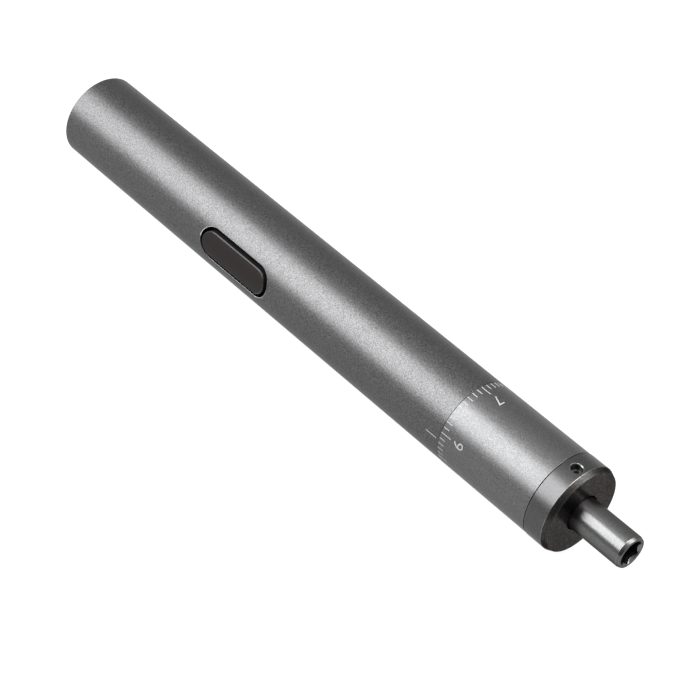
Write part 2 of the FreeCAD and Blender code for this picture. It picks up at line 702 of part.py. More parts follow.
def spindle():
    """Output spindle: planet carrier with its pins behind, hexagonal bit socket in front."""
    edge = TOOL_LENGTH - TIP_EDGE_LENGTH
    shaft = turned([
        (0, CARRIER_PLATE_START), (CARRIER_PLATE_RADIUS, CARRIER_PLATE_START),
        (CARRIER_PLATE_RADIUS, CARRIER_PLATE_END), (SPINDLE_RADIUS, CARRIER_PLATE_END),
        (SPINDLE_RADIUS, edge), (SPINDLE_RADIUS - TIP_EDGE_STEP, TOOL_LENGTH), (0, TOOL_LENGTH),
    ])
    pin = rod(PLANET_PIN_RADIUS, STAGE_START, CARRIER_PLATE_START, ORBIT_RADIUS)
    shaft = shaft.fuse(around(pin, PLANET_COUNT))
    socket_end = TOOL_LENGTH - HEX_DEPTH
    socket = hexagon(HEX_ACROSS_FLATS, socket_end, TOOL_LENGTH + OVERRUN, math.radians(HEX_TURN_DEG))
    lead_low = V(0, 0, TOOL_LENGTH - HEX_LEAD_DEPTH)
    flat = HEX_ACROSS_FLATS / 2
    lead = Part.makeCone(flat, flat + HEX_LEAD_STEP, HEX_LEAD_DEPTH, lead_low, AXIS)
    seat = rod(SOCKET_MAGNET_RADIUS, socket_end - SOCKET_MAGNET_LENGTH, socket_end)
    return shaft.cut(socket).cut(lead).cut(seat)


def socket_magnet():
    high = TOOL_LENGTH - HEX_DEPTH
    return rod(SOCKET_MAGNET_RADIUS, high - SOCKET_MAGNET_LENGTH, high)


PIECES = [
    body_tube, rear_cap, usb_c_shell, usb_c_tongue, charge_board, control_board,
    board_components, tact_switches, cell_carrier, battery_cell, battery_tabs,
    rocker_button, rocker_pin, rocker_bracket,
    gear_motor, motor_terminals, motor_strips, sun_shaft,
    planet_a, planet_b, planet_c, clutch_ring_gear,
    nose_sleeve, pressure_plate, clutch_spring, adjust_nut, torque_ring,
    nose_collar, collar_set_screw, spindle, socket_magnet,
]


def lying_placement():
    """Lay the tool along X with its button turned from the top towards -Y."""
    roll = math.radians(BUTTON_ROLL_DEG)
    button = V(0, -math.sin(roll), math.cos(roll))
    side = V(0, -math.cos(roll), -math.sin(roll))
    turn = FreeCAD.Rotation(button, side, V(1, 0, 0), "ZXY")
    return FreeCAD.Placement(V(-TOOL_LENGTH / 2, 0, COLLAR_RADIUS), turn)


def main():
    os.makedirs("parts", exist_ok=True)
    lie = lying_placement().toMatrix()
    for piece in PIECES:
        piece().transformed(lie).exportStep(f"parts/{piece.__name__}.step")
    print(len(PIECES), "pieces, overall length", round(TOOL_LENGTH, 2))


main()
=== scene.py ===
# %% [markdown]
# # A pen-shaped electric screwdriver
# This lesson dresses a finished CAD model. The CAD program has already made every solid at its true
# size, so Blender adds what a solid model lacks: soft edges, metal finishes, printed marks, light and a
# camera. Lengths are written in millimetres, and times `MM` they become metres, which Blender counts
# in.

import math

import bmesh
import bpy
from mathutils import Matrix, Vector

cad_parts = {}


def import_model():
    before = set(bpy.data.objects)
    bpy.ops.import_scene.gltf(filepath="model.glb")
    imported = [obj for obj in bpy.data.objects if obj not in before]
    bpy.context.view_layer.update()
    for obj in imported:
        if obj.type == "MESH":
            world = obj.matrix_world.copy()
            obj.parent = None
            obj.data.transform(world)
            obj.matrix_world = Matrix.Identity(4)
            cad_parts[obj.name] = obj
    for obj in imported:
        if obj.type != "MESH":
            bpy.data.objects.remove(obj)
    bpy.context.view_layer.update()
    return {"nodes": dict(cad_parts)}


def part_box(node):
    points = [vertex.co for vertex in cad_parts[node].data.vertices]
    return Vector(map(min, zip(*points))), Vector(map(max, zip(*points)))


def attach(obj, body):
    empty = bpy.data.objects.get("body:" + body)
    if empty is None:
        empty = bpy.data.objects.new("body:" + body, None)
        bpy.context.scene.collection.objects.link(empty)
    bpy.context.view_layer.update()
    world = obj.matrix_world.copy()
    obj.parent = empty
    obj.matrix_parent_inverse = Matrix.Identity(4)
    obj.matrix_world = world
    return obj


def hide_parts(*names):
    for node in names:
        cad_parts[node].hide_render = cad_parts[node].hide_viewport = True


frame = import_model()
nodes = frame["nodes"]
MM = 0.001
print("CAD nodes:", len(nodes))

# %% [markdown]
# ## Where things are on a round tool
# The tool lies along X. A place on it could be typed as x, y and z, but on a round tool it is easier to
# give the distance from the tail, the radius from the middle line and the angle round that line. The
# angle is counted from the brightest line of the tube in the photograph, and grows towards the button.

# %% Places on the tool
BRIGHT_LINE_DEG = 31.35
tail_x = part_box("body_tube")[0].x
collar_low, collar_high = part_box("nose_collar")
axis_height = (collar_low.z + collar_high.z) / 2


def at(place, radius, angle_deg):
    turn = math.radians(angle_deg + BRIGHT_LINE_DEG)
    side = -math.sin(turn) * radius
    up = math.cos(turn) * radius
    return Vector((tail_x + place * MM, side * MM, axis_height + up * MM))


print("tail at", round(tail_x / MM, 3), "mm, middle line", round(axis_height / MM, 3), "mm above the floor")

# %% [markdown]
# ## Finishes
# Every finish is a Principled shader with a pattern behind it. An image could paint the metal too, but
# a pattern made of nodes stays sharp at any distance and needs no file. The first helper starts a
# material. The second adds a node and fills its sockets: a number is set, and the output of another
# node is linked.


# %% Start a finish, add a node
def new_finish(name, colour, metallic, roughness):
    material = bpy.data.materials.new(name)
    material.use_nodes = True
    tree = material.node_tree
    shader = tree.nodes["Principled BSDF"]
    shader.inputs["Base Color"].default_value = (*colour, 1.0)
    shader.inputs["Metallic"].default_value = metallic
    shader.inputs["Roughness"].default_value = roughness
    return material, tree, shader


def add(tree, kind, sockets=None, **settings):
    node = tree.nodes.new(kind)
    for key, value in settings.items():
        setattr(node, key, value)
    for key, value in (sockets or {}).items():
        if isinstance(value, bpy.types.NodeSocket):
            tree.links.new(value, node.inputs[key])
        else:
            node.inputs[key].default_value = value
    return node


print("materials before the first finish:", len(bpy.data.materials))

# %% [markdown]
# ### Patterns
# A pattern could follow an unwrapped map, but these read Object coordinates. They are the same metres
# on every piece, because each mesh holds its own place, so a grain has one size all over the tool. A
# map range sharpens a pattern, a mix makes it a colour and a bump makes it a height.


# %% Patterns
def object_place(tree):
    return add(tree, "ShaderNodeTexCoord").outputs["Object"]


def noise(tree, place, scale, detail, coarseness=0.5):
    sockets = {"Vector": place, "Scale": scale, "Detail": detail, "Roughness": coarseness}
    return add(tree, "ShaderNodeTexNoise", sockets).outputs["Fac"]


def spread(tree, value, low, high):
    sockets = {"Value": value, "To Min": low, "To Max": high}
    return add(tree, "ShaderNodeMapRange", sockets).outputs["Result"]


def tint(tree, value, dark, light):
    mix = add(tree, "ShaderNodeMix", {"Factor": value}, data_type="RGBA")
    mix.inputs["A"].default_value = (*dark, 1.0)
    mix.inputs["B"].default_value = (*light, 1.0)
    return mix.outputs["Result"]


def raise_grain(tree, shader, height, strength, depth):
    bump = add(tree, "ShaderNodeBump", {"Height": height, "Strength": strength, "Distance": depth * MM})
    tree.links.new(bump.outputs["Normal"], shader.inputs["Normal"])


# %% [markdown]
# ### Blasted and anodised aluminium
# Tube and ring were shot with fine beads and then anodised, so they glitter with grains of about a
# fifth of a millimetre. The collar was turned and then anodised, and has the finest grain. A plain
# rough metal would look like paint. One noise at that scale changes colour, roughness and height
# together, as a real grain does, and a slower one lets the gloss drift.

# %% Blasted aluminium
GRAZING_TINT = 0.7
GRAIN_DETAIL = 2.0
GRAIN_COARSENESS = 0.7
GRAIN_CONTRAST = (-0.9, 1.9)
GRAIN_DEPTH = 0.02
CLOUDS_PER_METRE = 160.0
SMOOTHER = 0.05
ROUGHER = 0.01


def blasted_aluminium(name, dark, light, grain, roughness, strength):
    material, tree, shader = new_finish(name, light, 1.0, roughness)
    shader.inputs["Specular Tint"].default_value = (*[GRAZING_TINT] * 3, 1.0)
    place = object_place(tree)
    grains = noise(tree, place, grain, GRAIN_DETAIL, GRAIN_COARSENESS)
    clouds = noise(tree, place, CLOUDS_PER_METRE, GRAIN_DETAIL)
    sharp = spread(tree, grains, *GRAIN_CONTRAST)
    tree.links.new(tint(tree, sharp, dark, light), shader.inputs["Base Color"])
    wear = add(tree, "ShaderNodeMath", {0: sharp, 1: clouds}, operation="ADD").outputs[0]
    gloss = spread(tree, wear, roughness - SMOOTHER, roughness + ROUGHER)
    tree.links.new(gloss, shader.inputs["Roughness"])
    raise_grain(tree, shader, grains, strength, GRAIN_DEPTH)
    return material


print("the gloss drifts over clouds of about", round(1 / (CLOUDS_PER_METRE * MM), 1), "mm")

# %% [markdown]
# ### Tube, ring and collar
# The three pieces are finished apart from each other, so their skins differ a little: the ring is
# lighter than the tube, and the collar is the finest and glossiest. One shared finish would be simpler,
# but then the joints between the pieces would hardly show.

# %% Finishes of tube, ring and collar
tube_finish = blasted_aluminium(
    "tube_finish", dark=(0.046, 0.044, 0.044), light=(0.136, 0.133, 0.133),
    grain=5200.0, roughness=0.4, strength=0.4,
)
ring_finish = blasted_aluminium(
    "ring_finish", dark=(0.074, 0.072, 0.072), light=(0.158, 0.155, 0.155),
    grain=5600.0, roughness=0.38, strength=0.3,
)
collar_finish = blasted_aluminium(
    "collar_finish", dark=(0.06, 0.058, 0.058), light=(0.096, 0.093, 0.093),
    grain=6500.0, roughness=0.33, strength=0.2,
)
print("blasted:", tube_finish.name, ring_finish.name, collar_finish.name)

# %% [markdown]
# ### Rings round the axis
# A lathe leaves rings round the axis. They could be modelled, or drawn on an unwrapped map, but a
# pattern that knows only the distance along the axis and the distance out from it is the same all the
# way round. So it draws rings on a side, a face and a bevel alike.


# %% Distance along and out
def along_and_out(tree):
    shift = add(tree, "ShaderNodeVectorMath", {0: object_place(tree), 1: (0.0, 0.0, -axis_height)})
    parts = add(tree, "ShaderNodeSeparateXYZ", {"Vector": shift.outputs[0]}).outputs
    flat = add(tree, "ShaderNodeCombineXYZ", {"Y": parts["Y"], "Z": parts["Z"]})
    out = add(tree, "ShaderNodeVectorMath", {0: flat.outputs[0]}, operation="LENGTH")
    return add(tree, "ShaderNodeCombineXYZ", {"X": parts["X"], "Y": out.outputs["Value"]}).outputs[0]


print("rings are centred", round(axis_height / MM, 3), "mm above the floor")

# %% [markdown]
# ### Turned metal
# Fine rings also pull a highlight out across themselves. Bump alone would need rings finer than a pixel
# for that, so the shader's anisotropy does it, with a tangent that runs round the X axis.

# %% Turned metal
RING_DETAIL = 3.0
SPECKS_PER_METRE = 3000.0
SPECK_DETAIL = 1.0
TURNED_CONTRAST = (-0.6, 2.6)
TURNED_SWING = 0.03
TURNED_GRAZING_TINT = 0.35
ACROSS_THE_RINGS = 0.25
RING_DEPTH = 0.01


def turned_metal(name, dark, light, rings, roughness, strength, drag):
    material, tree, shader = new_finish(name, light, 1.0, roughness)
    lines = noise(tree, along_and_out(tree), rings, RING_DETAIL)
    specks = noise(tree, object_place(tree), SPECKS_PER_METRE, SPECK_DETAIL)
    both = add(tree, "ShaderNodeMath", {0: lines, 1: specks}, operation="MULTIPLY").outputs[0]
    colour = tint(tree, spread(tree, both, *TURNED_CONTRAST), dark, light)
    tree.links.new(colour, shader.inputs["Base Color"])
    gloss = spread(tree, lines, roughness - TURNED_SWING, roughness + TURNED_SWING)
    tree.links.new(gloss, shader.inputs["Roughness"])
    shader.inputs["Specular Tint"].default_value = (*[TURNED_GRAZING_TINT] * 3, 1.0)
    shader.inputs["Anisotropic"].default_value = drag
    shader.inputs["Anisotropic Rotation"].default_value = ACROSS_THE_RINGS
    round_axis = add(tree, "ShaderNodeTangent", direction_type="RADIAL", axis="X")
    tree.links.new(round_axis.outputs["Tangent"], shader.inputs["Tangent"])
    raise_grain(tree, shader, lines, strength, RING_DEPTH)
    return material


print("a turned finish varies its roughness by", TURNED_SWING, "either way")

# %% [markdown]
# ### Cut edges, glint corners and the collar's front
# A cutter leaves every edge brighter than the anodised skin beside it. Two corners of the button's slot
# get a near-white metal that flashes white, a painted glint. The collar's front is turned: its face is
# glossy, and its bevel gets a darker colour, painted shade where it catches little light. Each could be a
# recipe of its own, but they differ only in numbers, so one recipe makes them all.

# %% Finishes of cut edges and the collar's front
cut_finish = turned_metal(
    "cut_finish", dark=(0.14, 0.14, 0.14), light=(0.24, 0.24, 0.24),
    rings=6000.0, roughness=0.28, strength=0.05, drag=0.3,
)
# Two corners of the slot get this near-white metal: a painted glint.
glint_finish = turned_metal(
    "glint_finish", dark=(0.75, 0.75, 0.75), light=(0.9, 0.9, 0.9),
    rings=6000.0, roughness=0.22, strength=0.03, drag=0.0,
)
face_finish = turned_metal(
    "face_finish", dark=(0.06, 0.056, 0.055), light=(0.14, 0.135, 0.133),
    rings=9000.0, roughness=0.24, strength=0.06, drag=0.6,
)
# The bevel's darker colour is painted shade, standing in for light that this bevel does not catch.
shaded_bevel_finish = turned_metal(
    "shaded_bevel_finish", dark=(0.031, 0.03, 0.029), light=(0.065, 0.062, 0.06),
    rings=9000.0, roughness=0.36, strength=0.04, drag=0.0,
)
print("cut, glint and shaded:", cut_finish.name, glint_finish.name, face_finish.name, shaded_bevel_finish.name)

# %% [markdown]
# ### Steel that shows
# The spindle is finely turned steel with hardly any rings. Its tip is brighter, because bits rub it,
# and the set screw is rougher. A plain grey could do for pieces as small as these, but they are seen
# close up at the nose, so they use the turned recipe as well, with less or more bump.

# %% Finishes of spindle and set screw
spindle_finish = turned_metal(
    "spindle_finish", dark=(0.11, 0.108, 0.107), light=(0.15, 0.147, 0.146),
    rings=7000.0, roughness=0.28, strength=0.003, drag=0.4,
)
tip_finish = turned_metal(
    "tip_finish", dark=(0.14, 0.138, 0.137), light=(0.22, 0.217, 0.215),
    rings=7000.0, roughness=0.2, strength=0.02, drag=0.0,
)
screw_finish = turned_metal(
    "screw_finish", dark=(0.16, 0.158, 0.155), light=(0.34, 0.336, 0.332),
    rings=9000.0, roughness=0.35, strength=0.1, drag=0.2,
)
print("steel:", spindle_finish.name, tip_finish.name, screw_finish.name)

# %% [markdown]
# ### Metal inside
# Gears, motor, sleeve and nut are hidden while the tool is whole, and the charging socket and the
# magnet are seen from the ends only. One grey would do for this picture, but whoever uses the part may
# open it or cut it in half, so each metal gets its own finish.

# %% Finishes of the metal inside
gear_finish = turned_metal(
    "gear_finish", dark=(0.3, 0.29, 0.28), light=(0.5, 0.49, 0.47),
    rings=4000.0, roughness=0.35, strength=0.15, drag=0.2,
)
motor_finish = turned_metal(
    "motor_finish", dark=(0.4, 0.4, 0.4), light=(0.6, 0.6, 0.6),
    rings=3000.0, roughness=0.3, strength=0.1, drag=0.3,
)
brass_finish = turned_metal(
    "brass_finish", dark=(0.5, 0.36, 0.12), light=(0.72, 0.55, 0.24),
    rings=5000.0, roughness=0.3, strength=0.12, drag=0.3,
)
port_finish = turned_metal(
    "port_finish", dark=(0.45, 0.45, 0.44), light=(0.65, 0.65, 0.63),
    rings=3000.0, roughness=0.28, strength=0.05, drag=0.0,
)
magnet_finish = turned_metal(
    "magnet_finish", dark=(0.55, 0.55, 0.53), light=(0.75, 0.74, 0.72),
    rings=3000.0, roughness=0.2, strength=0.05, drag=0.0,
)
print("metal finishes so far:", sum(name.endswith("_finish") for name in bpy.data.materials.keys()))

# %% [markdown]
# ### Moulded plastic, laminate and paint
# Moulded plastic takes the texture of its mould: a fine, soft bump and a slightly uneven gloss. A
# smooth black would look like glass. The same recipe serves the boards, the wrap of the cell and the
# pale paint of the scale, with other colours and another gloss.

# %% Moulded plastic
SKIN_DETAIL = 3.0
SKIN_SWING = 0.08
SKIN_DEPTH = 0.02


def moulded_plastic(name, dark, light, grain, roughness, strength, gloss=0.5):
    material, tree, shader = new_finish(name, light, 0.0, roughness)
    shader.inputs["Specular IOR Level"].default_value = gloss
    skin = noise(tree, object_place(tree), grain, SKIN_DETAIL)
    tree.links.new(tint(tree, skin, dark, light), shader.inputs["Base Color"])
    uneven = spread(tree, skin, roughness - SKIN_SWING, roughness + SKIN_SWING)
    tree.links.new(uneven, shader.inputs["Roughness"])
    raise_grain(tree, shader, skin, strength, SKIN_DEPTH)
    return material


print("a moulded finish varies its roughness by", SKIN_SWING, "either way")

# %% [markdown]
# ### Button and scale
# The button is a dull black, with a glossier black on its worn rim, and the scale is a pale paint that
# hardly shines. Pure white would be the first guess for the paint, but under lights as strong as these
# a mid grey already looks white.

# %% Finishes of button and scale
button_finish = moulded_plastic(
    "button_finish", dark=(0.007, 0.005, 0.005), light=(0.014, 0.01, 0.01),
    grain=9000.0, roughness=0.58, strength=0.25, gloss=0.13,
)
button_edge = moulded_plastic(
    "button_edge", dark=(0.006, 0.005, 0.005), light=(0.012, 0.01, 0.01),
    grain=9000.0, roughness=0.36, strength=0.1,
)
mark_finish = moulded_plastic(
    "mark_finish", dark=(0.26, 0.26, 0.26), light=(0.38, 0.38, 0.376),
    grain=9000.0, roughness=0.6, strength=0.1, gloss=0.1,
)
print("outside:", button_finish.name, button_edge.name, mark_finish.name)

# %% [markdown]
# ### Plastic inside
# Carrier, bracket and switches are moulded black, the boards are green laminate and the cell has a blue
# wrap. They could share one black, because only the tongue of the charging socket shows, but a model
# that is cut open reads better in its usual colours.

# %% Finishes of the plastic inside
inner_black = moulded_plastic(
    "inner_black", dark=(0.012, 0.012, 0.012), light=(0.025, 0.025, 0.025),
    grain=5000.0, roughness=0.55, strength=0.2,
)
tongue_finish = moulded_plastic(
    "tongue_finish", dark=(0.01, 0.01, 0.01), light=(0.02, 0.02, 0.02),
    grain=6000.0, roughness=0.45, strength=0.15,
)
board_finish = moulded_plastic(
    "board_finish", dark=(0.004, 0.016, 0.009), light=(0.008, 0.028, 0.015),
    grain=2500.0, roughness=0.35, strength=0.1,
)
cell_finish = moulded_plastic(
    "cell_finish", dark=(0.03, 0.11, 0.26), light=(0.05, 0.15, 0.34),
    grain=800.0, roughness=0.3, strength=0.05,
)
print("inside:", inner_black.name, tongue_finish.name, board_finish.name, cell_finish.name)

# %% [markdown]
# ## Carried-over pieces
# The CAD model is already right in shape, so every node keeps its mesh and gets its finish. For all
# that lies inside, and for the set screw down in its hole, that is enough. Six pieces that show get
# softer copies in the next steps.

# %% Finishes on the CAD nodes
finish_nodes = [
    (tube_finish, ["body_tube", "rear_cap"]),
    (ring_finish, ["torque_ring"]),
    (collar_finish, ["nose_collar"]),
    (spindle_finish, ["spindle"]),
    (screw_finish, ["collar_set_screw", "rocker_pin"]),
    (button_finish, ["rocker_button"]),
    (inner_black, ["cell_carrier", "rocker_bracket"]),
    (port_finish, ["usb_c_shell"]),
    (tongue_finish, ["usb_c_tongue", "board_components", "tact_switches"]),
    (board_finish, ["charge_board", "control_board"]),
    (cell_finish, ["battery_cell"]),
    (brass_finish, ["battery_tabs", "motor_terminals", "motor_strips", "nose_sleeve", "adjust_nut"]),
    (motor_finish, ["gear_motor"]),
    (gear_finish, ["sun_shaft", "planet_a", "planet_b", "planet_c"]),
    (gear_finish, ["clutch_ring_gear", "pressure_plate", "clutch_spring"]),
    (magnet_finish, ["socket_magnet"]),
]
for finish, names in finish_nodes:
    for name in names:
        nodes[name].data.materials.clear()
        nodes[name].data.materials.append(finish)
print("finished", sum(len(names) for finish, names in finish_nodes), "CAD nodes")

# %% [markdown]
# ## Soft edges
# A real edge is never razor sharp: a cutter breaks it and handling wears it bright, so it catches a
# thin line of light. A CAD mesh is made of loose triangles, and a bevel would find no edge between two
# faces on it. So a copy is merged first, and its flat stretches are joined into whole faces again.

# %% Merge a copy of a CAD node
MERGE_DISTANCE = 0.001
FLAT_DEG = 0.3


def merged_copy(name):
    shape = bmesh.new()
    shape.from_mesh(nodes[name].data)
    bmesh.ops.remove_doubles(shape, verts=shape.verts[:], dist=MERGE_DISTANCE * MM)
    flat = math.radians(FLAT_DEG)
    bmesh.ops.dissolve_limit(shape, angle_limit=flat, verts=shape.verts[:], edges=shape.edges[:])
    return shape


tube_sample = merged_copy("body_tube")
print("tube:", len(nodes["body_tube"].data.polygons), "triangles become", len(tube_sample.faces), "faces")
tube_sample.free()

# %% [markdown]
# ### Break the corners
# The bevel modifier would round the edges as well, but the bmesh operator also tells which faces are
# new, and these get the brighter finish of a cut edge. A bevel can push a point a hair past the solid,
# so in the end every point is held inside the box of its node.

# %% Break the corners of a copy
CORNER_DEG = 14.0
BEVEL_STEPS = 2
ROUND_PROFILE = 0.5
CUT_INDEX = 1


def outer_corners(shape, reaches):
    corners = []
    for edge in shape.edges:
        outside = edge.is_manifold and edge.is_convex and all(reaches(vert.co) for vert in edge.verts)
        if outside and edge.calc_face_angle() > math.radians(CORNER_DEG):
            corners.append(edge)
    return corners


def broken_corners(name, width, reaches):
    shape = merged_copy(name)
    made = bmesh.ops.bevel(
        shape, geom=outer_corners(shape, reaches), offset=width * MM,
        segments=BEVEL_STEPS, profile=ROUND_PROFILE, affect="EDGES",
    )
    for face in made["faces"]:
        face.material_index = CUT_INDEX
    low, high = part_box(name)
    for vert in shape.verts:
        vert.co = [max(low[k], min(high[k], vert.co[k])) for k in range(3)]
    return shape


print("corners sharper than", CORNER_DEG, "degrees are broken in", BEVEL_STEPS, "steps")

# %% [markdown]
# ### Slope of a turned face
# After bevelling, Blender would average the normals of whatever faces meet at a point, and a long tube
# would show streaks. What a lathe has made is round about the axis, so its normal is known exactly once
# its slope is known: how far it leans along the axis, and how far away from it. Any other face has no
# such slope.

# %% Slope of a turned face
LEAST_TURNED = 0.95
STRAIGHT_SIDE = 0.02
LEVEL_SPREAD = 0.01


def from_axis(point):
    return Vector((0.0, point.y, point.z - axis_height))


def turned_slope(mesh, face):
    out = from_axis(face.center).normalized()
    along = face.normal.x
    away = face.normal.dot(out)
    if along**2 + away**2 < LEAST_TURNED:
        return None
    if abs(along) < STRAIGHT_SIDE:
        along = 0.0
        away = math.copysign(1.0, away)
    points = [mesh.vertices[v].co for v in face.vertices]
    levels = [along * p.x + away * from_axis(p).length for p in points]
    return (along, away) if max(levels) - min(levels) < LEVEL_SPREAD * MM else None


cad_ring = nodes["torque_ring"].data
turned_count = sum(turned_slope(cad_ring, face) is not None for face in cad_ring.polygons)
print("turned on the CAD ring:", turned_count, "of", len(cad_ring.polygons), "faces")

# %% [markdown]
# ### Normals that follow the lathe
# The slope of a turned face stays, and only its direction round the axis follows the point. Where faces
# meet at less than a set angle, their normals are averaged by area, so small bevels give way to the
# large faces beside them. Blender's own smooth shading can't do the first, so the normals are set by
# the script.

# %% Normals that follow the lathe
SMOOTH_DEG = 40.0


def normal_there(face, slope, point):
    if slope is None:
        return face.normal
    out = from_axis(point).normalized()
    return Vector((slope[0], slope[1] * out.y, slope[1] * out.z)).normalized()


def lathe_normals(mesh):
    slopes = [turned_slope(mesh, face) for face in mesh.polygons]
    meeting = [[] for vert in mesh.vertices]
    for face, slope in zip(mesh.polygons, slopes):
        for v in face.vertices:
            meeting[v].append((normal_there(face, slope, mesh.vertices[v].co), face.area))
    limit = math.cos(math.radians(SMOOTH_DEG))
    normals = []
    for face, slope in zip(mesh.polygons, slopes):
        for v in face.vertices:
            own = normal_there(face, slope, mesh.vertices[v].co)
            total = sum((n * area for n, area in meeting[v] if n.dot(own) > limit), Vector())
            normals.append(total.normalized())
    mesh.polygons.foreach_set("use_smooth", [True] * len(mesh.polygons))
    mesh.normals_split_custom_set(normals)
    return slopes


print("normals less than", SMOOTH_DEG, "degrees apart are averaged")

# %% [markdown]
# ### A soft piece
# One helper turns a CAD node into a piece that shows: it breaks the corners, sets the normals and gives
# the milled faces the finish of a cut edge. Milled faces are those that lean outwards and are not
# turned, such as the rim of a slot. The piece then rides on the body of its node and takes its place,
# and the node is hidden.

# %% A soft piece
MILLED_LEAN = 0.3


def show(name, data):
    thing = bpy.data.objects.new(name, data)
    bpy.context.scene.collection.objects.link(thing)
    return thing


def soft_piece(name, node, body, finishes, width, reaches, lean=MILLED_LEAN):
    shape = broken_corners(node, width, reaches)
    mesh = bpy.data.meshes.new(name)
    shape.to_mesh(mesh)
    shape.free()
    for finish in finishes:
        mesh.materials.append(finish)
    slopes = lathe_normals(mesh)
    for face, slope in zip(mesh.polygons, slopes):
        leans_out = face.normal.dot(from_axis(face.center).normalized()) > lean
        if slope is None and leans_out:
            face.material_index = CUT_INDEX
    piece = show(name, mesh)
    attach(piece, body)
    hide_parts(node)
    print(name, "faces:", len(mesh.polygons), "turned:", sum(slope is not None for slope in slopes))
    return piece


# %% [markdown]
# ## The tube
# The handle is one drawn tube with a round-ended slot milled in its side. Its corners are only just
# broken, by a few hundredths of a millimetre. All of them could be, but nobody sees the bore, so only
# corners near the outer skin are touched.

# %% Tube
TUBE_RADIUS = 8.0
SKIN_FROM = 7.6
TUBE_EDGE = 0.025


def out_past(radius):
    return lambda point: from_axis(point).length > radius * MM


tube_finishes = [tube_finish, cut_finish, glint_finish]
outer_skin = out_past(SKIN_FROM)
tube_shell = soft_piece("tube_shell", "body_tube", "handle", tube_finishes, TUBE_EDGE, outer_skin)

# %% [markdown]
# ### Glint corners of the slot
# Two opposite corners of the slot's rim get a near-white metal that flashes white: a painted glint. It
# could be painted by hand, but a rule is easier to move: it takes the cut faces near the ends of the slot
# whose distance along the slot and distance down its side have the same sign.

# %% Glint corners of the slot
BUTTON_DEG = 39.75
QUARTER_TURN_DEG = 90.0
SLOT_MIDDLE = 48.2
GLINT_FROM = 6.3
GLINT_TO = 9.0
GLINT_INDEX = 2
slot_x = at(SLOT_MIDDLE, TUBE_RADIUS, BUTTON_DEG).x
down_the_side = from_axis(at(SLOT_MIDDLE, TUBE_RADIUS, BUTTON_DEG + QUARTER_TURN_DEG)).normalized()


def repaint(piece, finish_index, chosen):
    faces = [face for face in piece.data.polygons if chosen(face)]
    for face in faces:
        face.material_index = finish_index
    print(piece.name, "faces repainted:", len(faces))


def polished_by_thumb(face):
    along = face.center.x - slot_x
    down = from_axis(face.center).dot(down_the_side)
    near_an_end = GLINT_FROM * MM < abs(along) < GLINT_TO * MM
    return face.material_index == CUT_INDEX and near_an_end and along * down > 0


# Painted glint: the two chosen corners of the rim get the near-white metal.
repaint(tube_shell, GLINT_INDEX, polished_by_thumb)

# %% [markdown]
# ## The torque ring
# The ring turns in the hand to set the torque, so its two rims are broken twice as wide as the tube's.
# It looks like a part of the tube and could be drawn on it as two lines, but it has to turn: it rides
# on its own body, and so will the scale that is printed on it.

# %% Torque ring
RING_EDGE = 0.05
soft_piece("ring_shell", "torque_ring", "ring", [ring_finish, cut_finish], RING_EDGE, outer_skin)

# %% [markdown]
# ## The nose collar
# The collar closes the ring off and is held by a set screw. The hole of the screw was drilled after
# anodising, so its wall is bright: a lower lean takes in faces that point straight across. The front
# face and the bevel round it get finishes of their own. Loops could be selected by hand for that, but
# how far a face looks forward tells them apart.

# %% Nose collar
COLLAR_SKIN_FROM = 7.4
COLLAR_EDGE = 0.06
HOLE_WALL_LEAN = -0.1
FRONT_FROM = 0.9
BEVEL_FROM = 0.35
FRONT_INDEX = 2
BEVEL_INDEX = 3
collar_finishes = [collar_finish, cut_finish, face_finish, shaded_bevel_finish]
collar_shell = soft_piece(
    "collar_shell", "nose_collar", "handle", collar_finishes, COLLAR_EDGE,
    out_past(COLLAR_SKIN_FROM), lean=HOLE_WALL_LEAN,
)
repaint(collar_shell, FRONT_INDEX, lambda face: face.normal.x > FRONT_FROM)
# The bevel gets the darker colour: painted shade.
repaint(collar_shell, BEVEL_INDEX, lambda face: BEVEL_FROM < face.normal.x < FRONT_FROM)

# %% [markdown]
# ## The spindle
# The spindle is what the motor turns in the end. Bits slide in and out of its hexagonal socket, so its
# tip is worn brighter than its side. A wear mask could show that, but the faces that look forward are
# the ones that bits touch, so another material on them is enough. Only the corners near the tip are
# broken, since no others show.

# %% Spindle
TIP_FROM = 134.5
TIP_EDGE = 0.06
TIP_FACING = 0.5
TIP_INDEX = 2


def beyond(place):
    return lambda point: point.x > tail_x + place * MM


tip_finishes = [spindle_finish, tip_finish, tip_finish]
spindle_shell = soft_piece("spindle_shell", "spindle", "spindle", tip_finishes, TIP_EDGE, beyond(TIP_FROM))
repaint(spindle_shell, TIP_INDEX, lambda face: face.normal.x > TIP_FACING)

# %% [markdown]
# ## The tail cap
# A plain plug closes the tail and leaves an opening for the charging socket. A flat disc would look the
# same from behind, but the solid is there already, and only the corners of its outer face have to be
# broken.

# %% Tail cap
TAIL_TO = 0.5
TAIL_EDGE = 0.05


def before(place):
    return lambda point: point.x < tail_x + place * MM


soft_piece("tail_shell", "rear_cap", "handle", [tube_finish, cut_finish], TAIL_EDGE, before(TAIL_TO))

# %% [markdown]
# ## The button
# The button is moulded in matte black, and its top follows the tube. Fingers polish its rim first. That
# could be a mask in the shader, but the broken corner is a face of its own already, so it simply gets a
# glossier black, which can catch a fine line of light.

# %% Button
BUTTON_TOP_FROM = 7.5
BUTTON_RIM = 0.03
button_top = out_past(BUTTON_TOP_FROM)
soft_piece("button_shell", "rocker_button", "rocker", [button_finish, button_edge], BUTTON_RIM, button_top)

# %% [markdown]
# ## The torque scale
# The ring carries a scale of nine steps with five divisions each. Forty-six marks that differ only in
# their angle and length are a job for Geometry Nodes: points are laid round the axis and one small
# block is set on every point, longer on each fifth. The sizes come first, because marks and numbers
# share them.

